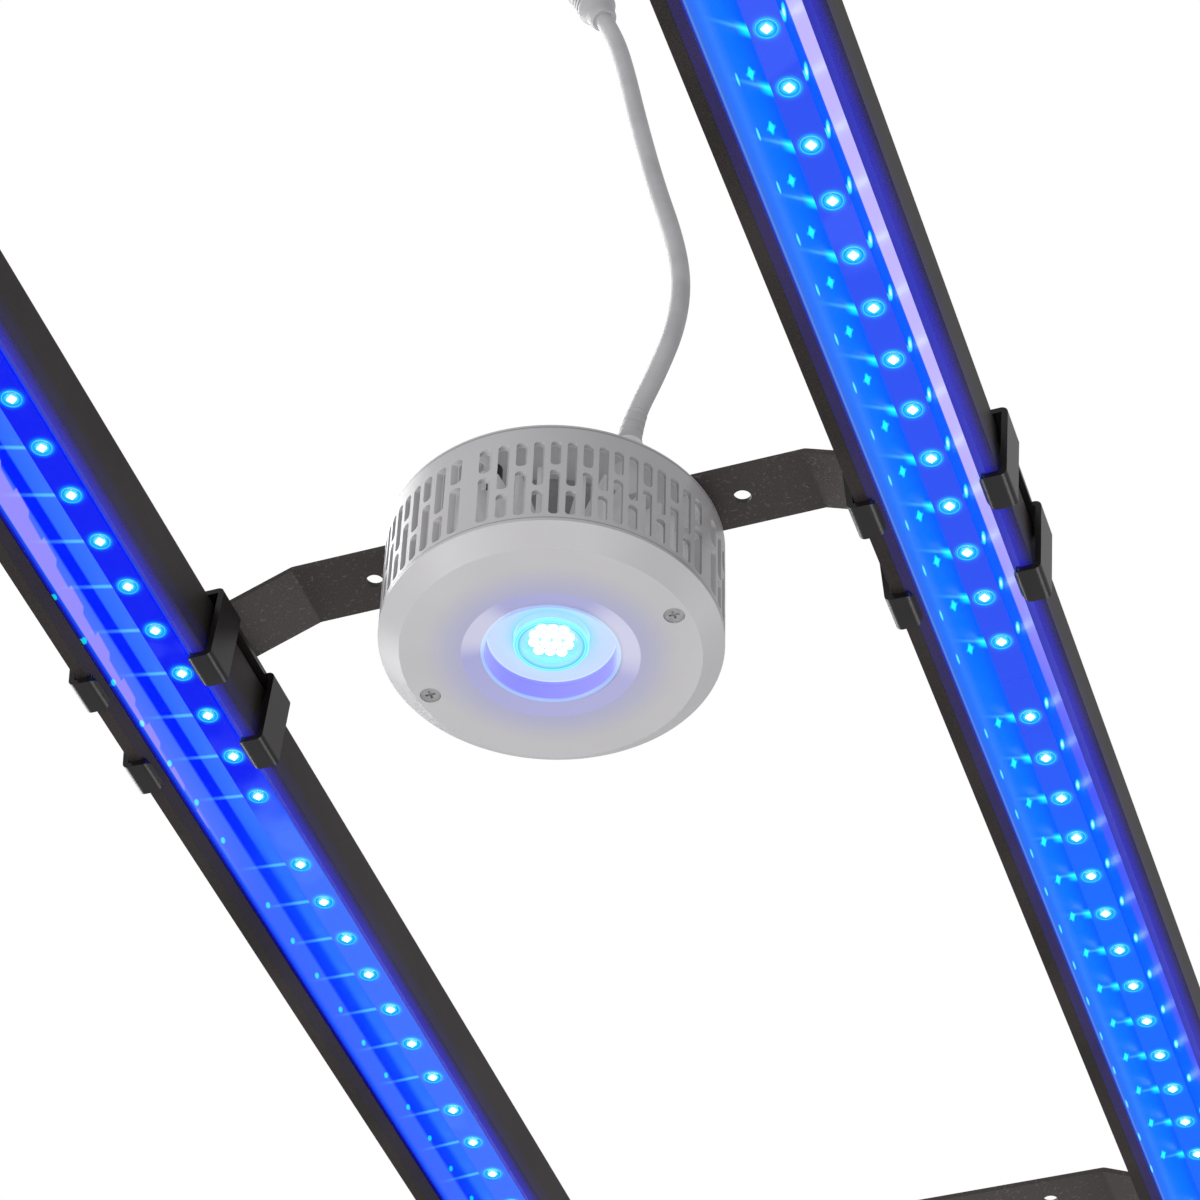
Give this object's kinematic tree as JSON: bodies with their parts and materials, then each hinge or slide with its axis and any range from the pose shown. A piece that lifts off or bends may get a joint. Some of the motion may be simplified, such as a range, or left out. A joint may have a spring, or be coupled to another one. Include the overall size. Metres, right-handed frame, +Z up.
{
  "type": "led aquarium light",
  "caption": "Hanging aquarium light: long LED bars in spring clips on cross straps, with a round spot lamp hung on a stud, its dials and a short power cord.",
  "frame": {"origin": "middle of the four hanging holes, on the top face of the straps", "axes": "+Z up out of the straps, +Y along the bars away from the spot lamp, +X across the bars"},
  "size_m": [0.3144, 0.953, 0.336],
  "materials": {
    "black_powder_coat": "fine texture",
    "black_anodised": "satin",
    "polished_reflector": "polished",
    "board_white": "white solder mask",
    "board_green": "green solder mask",
    "led_blue": "emissive",
    "clear_window": "clear",
    "lens_glass": "clear",
    "black_plastic": "moulded",
    "lamp_plastic": "satin",
    "light_plate": "satin",
    "sink_alloy": "cast",
    "steel": "plated",
    "brass": "bright",
    "silicone": "soft",
    "cord_jacket": "smooth",
    "components": "moulded"
  },
  "bodies": {
    "bracket_frame": {"front_strap": "black_powder_coat", "rear_strap": "black_powder_coat", "front_left_clip": "black_powder_coat", "front_right_clip": "black_powder_coat", "rear_left_clip": "black_powder_coat", "rear_right_clip": "black_powder_coat", "clip_studs": "steel", "clip_nuts": "steel", "stud_spacer": "black_plastic"},
    "left_bar": {"left_bar_housing": "black_anodised", "left_bar_reflector": "polished_reflector", "left_led_boards": "board_white", "left_leds": "led_blue", "left_bar_window": "clear_window", "left_front_cap": "black_plastic", "left_rear_cap": "black_plastic", "left_cap_gaskets": "silicone", "left_cap_screws": "steel", "left_power_inlet": "black_plastic", "left_inlet_nut": "steel"},
    "right_bar": {"right_bar_housing": "black_anodised", "right_bar_reflector": "polished_reflector", "right_led_boards": "board_white", "right_leds": "led_blue", "right_bar_window": "clear_window", "right_front_cap": "black_plastic", "right_rear_cap": "black_plastic", "right_cap_gaskets": "silicone", "right_cap_screws": "steel", "right_power_inlet": "black_plastic", "right_inlet_nut": "steel"},
    "spot_lamp": {"lamp_case": "lamp_plastic", "lamp_lid": "lamp_plastic", "lid_screws": "steel", "bezel": "lamp_plastic", "bezel_screws": "steel", "heat_sink": "sink_alloy", "led_carrier": "board_white", "led_cluster": "led_blue", "light_plate": "light_plate", "dome_lens": "lens_glass", "driver_board": "board_green", "driver_components": "components", "control_jack": "black_plastic", "hanging_stud": "steel", "stud_washer": "steel", "stud_nut": "steel", "cord_gland": "lamp_plastic", "lamp_cord": "cord_jacket", "plug_boot": "cord_jacket", "plug_body": "cord_jacket", "plug_contacts": "brass", "colour_potentiometer": "components", "dimmer_potentiometer": "components"},
    "dimmer_dial": {"dimmer_knob": "lamp_plastic", "dimmer_shaft": "steel"},
    "colour_dial": {"colour_knob": "lamp_plastic", "colour_shaft": "steel"},
    "coupling_ring": {"coupling_nut": "cord_jacket"}
  },
  "joints": [
    {"name": "left_bar_slide", "type": "slide", "parent": "bracket_frame", "child": "left_bar", "axis": [0, 1, 0], "range_m": [-0.12, 0.06]},
    {"name": "right_bar_slide", "type": "slide", "parent": "bracket_frame", "child": "right_bar", "axis": [0, 1, 0], "range_m": [-0.12, 0.06]},
    {"name": "lamp_swivel", "type": "hinge", "parent": "bracket_frame", "child": "spot_lamp", "pos_m": [0, -0.204, 0], "axis": [0, 0, 1], "range_deg": [-40, 10]},
    {"name": "dimmer_turn", "type": "hinge", "parent": "spot_lamp", "child": "dimmer_dial", "pos_m": [-0.00996, -0.16681, 0], "axis": [0, 0, -1], "range_deg": [0, 270]},
    {"name": "colour_turn", "type": "hinge", "parent": "spot_lamp", "child": "colour_dial", "pos_m": [0.00996, -0.16681, 0], "axis": [0, 0, -1], "range_deg": [0, 270]},
    {"name": "coupling_turn", "type": "hinge", "parent": "spot_lamp", "child": "coupling_ring", "pos_m": [0.00958, -0.231, 0.26469], "axis": [-0.332, 0, 0.9433], "continuous": true}
  ]
}
